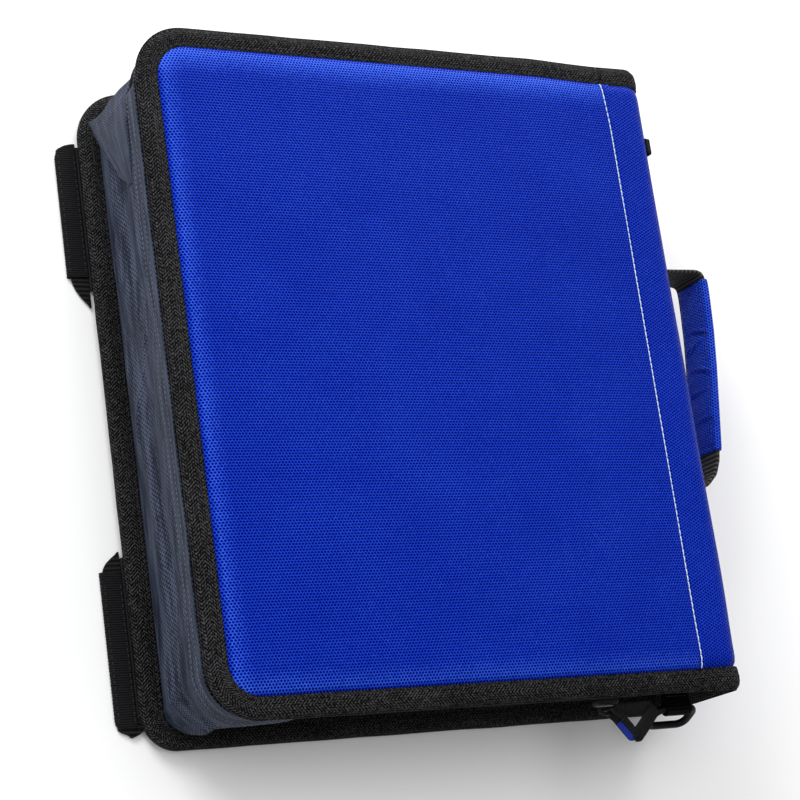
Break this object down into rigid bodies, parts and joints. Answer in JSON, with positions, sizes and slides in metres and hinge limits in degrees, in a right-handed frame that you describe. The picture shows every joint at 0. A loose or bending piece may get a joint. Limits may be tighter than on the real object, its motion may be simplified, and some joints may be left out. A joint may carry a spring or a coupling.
{
  "type": "zip-around ring binder case",
  "caption": "Blue fabric zip-around ring binder with bound edges, side gusset, ring mechanism in the spine, carrying handle, strap rings and zipper.",
  "frame": {"origin": "middle of the back cover's flat outer face, on which the case lies", "axes": "+Z out of the front cover, +Y towards the top edge, +X towards the spine"},
  "size_m": [0.3433, 0.3568, 0.086],
  "materials": {
    "blue_cloth": "coarse woven, slight sheen",
    "binding_tape": "twill ribbed tape",
    "webbing": "coarse ribbed webbing",
    "grey_nylon": "thin plain woven nylon",
    "black_cloth": "plain woven lining",
    "board": "plain stiffener board",
    "zipper_coil": "moulded coil",
    "nickel": "polished",
    "mechanism_steel": "plated sheet",
    "black_metal": "satin black"
  },
  "bodies": {
    "back_cover": {"back_panel": "blue_cloth", "back_board": "board", "back_liner": "black_cloth", "back_binding": "binding_tape", "side_gusset": "grey_nylon", "bottom_wall": "black_cloth", "top_wall": "black_cloth", "lower_zipper_tape": "black_cloth", "lower_zipper_coil": "zipper_coil", "upper_ring_tab": "webbing", "lower_ring_tab": "webbing", "upper_edge_loop_anchor": "webbing", "lower_edge_loop_anchor": "webbing"},
    "spine": {"spine_panel": "blue_cloth", "spine_board": "board", "spine_liner": "black_cloth", "spine_top_binding": "binding_tape", "spine_bottom_binding": "binding_tape", "spine_tab": "webbing", "ring_plate": "mechanism_steel", "plate_rivet_top": "nickel", "plate_rivet_bottom": "nickel", "handle_anchor_top": "webbing", "handle_anchor_bottom": "webbing"},
    "front_cover": {"front_panel": "blue_cloth", "front_board": "board", "front_liner": "black_cloth", "front_binding": "binding_tape", "upper_zipper_tape": "black_cloth", "upper_zipper_coil": "zipper_coil"},
    "front_rings": {"ring_blade_front": "mechanism_steel", "ring_half_front_bottom": "nickel", "ring_half_front_middle": "nickel", "ring_half_front_top": "nickel"},
    "back_rings": {"ring_blade_back": "mechanism_steel", "ring_half_back_bottom": "nickel", "ring_half_back_middle": "nickel", "ring_half_back_top": "nickel"},
    "upper_lever": {"upper_trigger": "mechanism_steel"},
    "lower_lever": {"lower_trigger": "mechanism_steel"},
    "handle": {"handle_webbing": "webbing", "handle_sleeve": "blue_cloth"},
    "upper_ring": {"upper_strap_ring": "black_metal"},
    "lower_ring": {"lower_strap_ring": "black_metal"},
    "upper_edge_loop": {"upper_edge_loop_webbing": "webbing", "upper_edge_loop_sleeve": "binding_tape"},
    "lower_edge_loop": {"lower_edge_loop_webbing": "webbing", "lower_edge_loop_sleeve": "binding_tape"},
    "slider": {"zipper_slider": "black_metal", "slider_bail": "black_metal"},
    "pull": {"zipper_pull": "black_metal", "pull_ribbon": "blue_cloth"}
  },
  "joints": [
    {"name": "spine_fold", "type": "hinge", "parent": "back_cover", "child": "spine", "pos_m": [0.1425, 0, 0.003], "axis": [0, 1, 0], "range_deg": [0, 90]},
    {"name": "front_cover_fold", "type": "hinge", "parent": "spine", "child": "front_cover", "pos_m": [0.12, 0, 0.0864], "axis": [0, 1, 0], "range_deg": [0, 180]},
    {"name": "ring_open", "type": "hinge", "parent": "spine", "child": "front_rings", "pos_m": [0.1336, 0, 0.0548], "axis": [0, 1, 0], "range_deg": [0, 12]},
    {"name": "ring_open_back", "type": "hinge", "parent": "spine", "child": "back_rings", "pos_m": [0.1336, 0, 0.0352], "axis": [0, 1, 0], "range_deg": [-12, 0]},
    {"name": "upper_trigger_press", "type": "hinge", "parent": "spine", "child": "upper_lever", "pos_m": [0.1326, 0.1306, 0.045], "axis": [0, 0, -1], "range_deg": [0, 30]},
    {"name": "lower_trigger_press", "type": "hinge", "parent": "spine", "child": "lower_lever", "pos_m": [0.1326, -0.1306, 0.045], "axis": [0, 0, 1], "range_deg": [0, 30]},
    {"name": "handle_swing", "type": "hinge", "parent": "spine", "child": "handle", "pos_m": [0.1493, 0, 0.045], "axis": [0, 1, 0], "range_deg": [-25, 25], "stiffness_Nm_per_rad": 0.2},
    {"name": "upper_ring_swing", "type": "hinge", "parent": "back_cover", "child": "upper_ring", "pos_m": [0.1273, 0.1682, 0.048], "axis": [1, 0, 0], "range_deg": [0, 160]},
    {"name": "lower_ring_swing", "type": "hinge", "parent": "back_cover", "child": "lower_ring", "pos_m": [0.1273, -0.1682, 0.048], "axis": [1, 0, 0], "range_deg": [-145, 15]},
    {"name": "upper_edge_loop_lift", "type": "hinge", "parent": "back_cover", "child": "upper_edge_loop", "pos_m": [-0.145, 0.097, 0.0016], "axis": [0, 1, 0], "range_deg": [0, 85]},
    {"name": "lower_edge_loop_lift", "type": "hinge", "parent": "back_cover", "child": "lower_edge_loop", "pos_m": [-0.145, -0.1128, 0.0016], "axis": [0, 1, 0], "range_deg": [0, 85]},
    {"name": "slider_travel", "type": "slide", "parent": "back_cover", "child": "slider", "axis": [1, 0, 0], "range_m": [-0.166, 0.026]},
    {"name": "pull_swing", "type": "hinge", "parent": "slider", "child": "pull", "pos_m": [0.068, -0.1701, 0.0746], "axis": [0, 0, 1], "range_deg": [-125, 0]}
  ],
  "couplings": [
    {"joint": "ring_open_back", "follows": "ring_open", "ratio": -1},
    {"joint": "upper_trigger_press", "follows": "ring_open", "ratio": 2.5},
    {"joint": "lower_trigger_press", "follows": "ring_open", "ratio": 2.5}
  ]
}
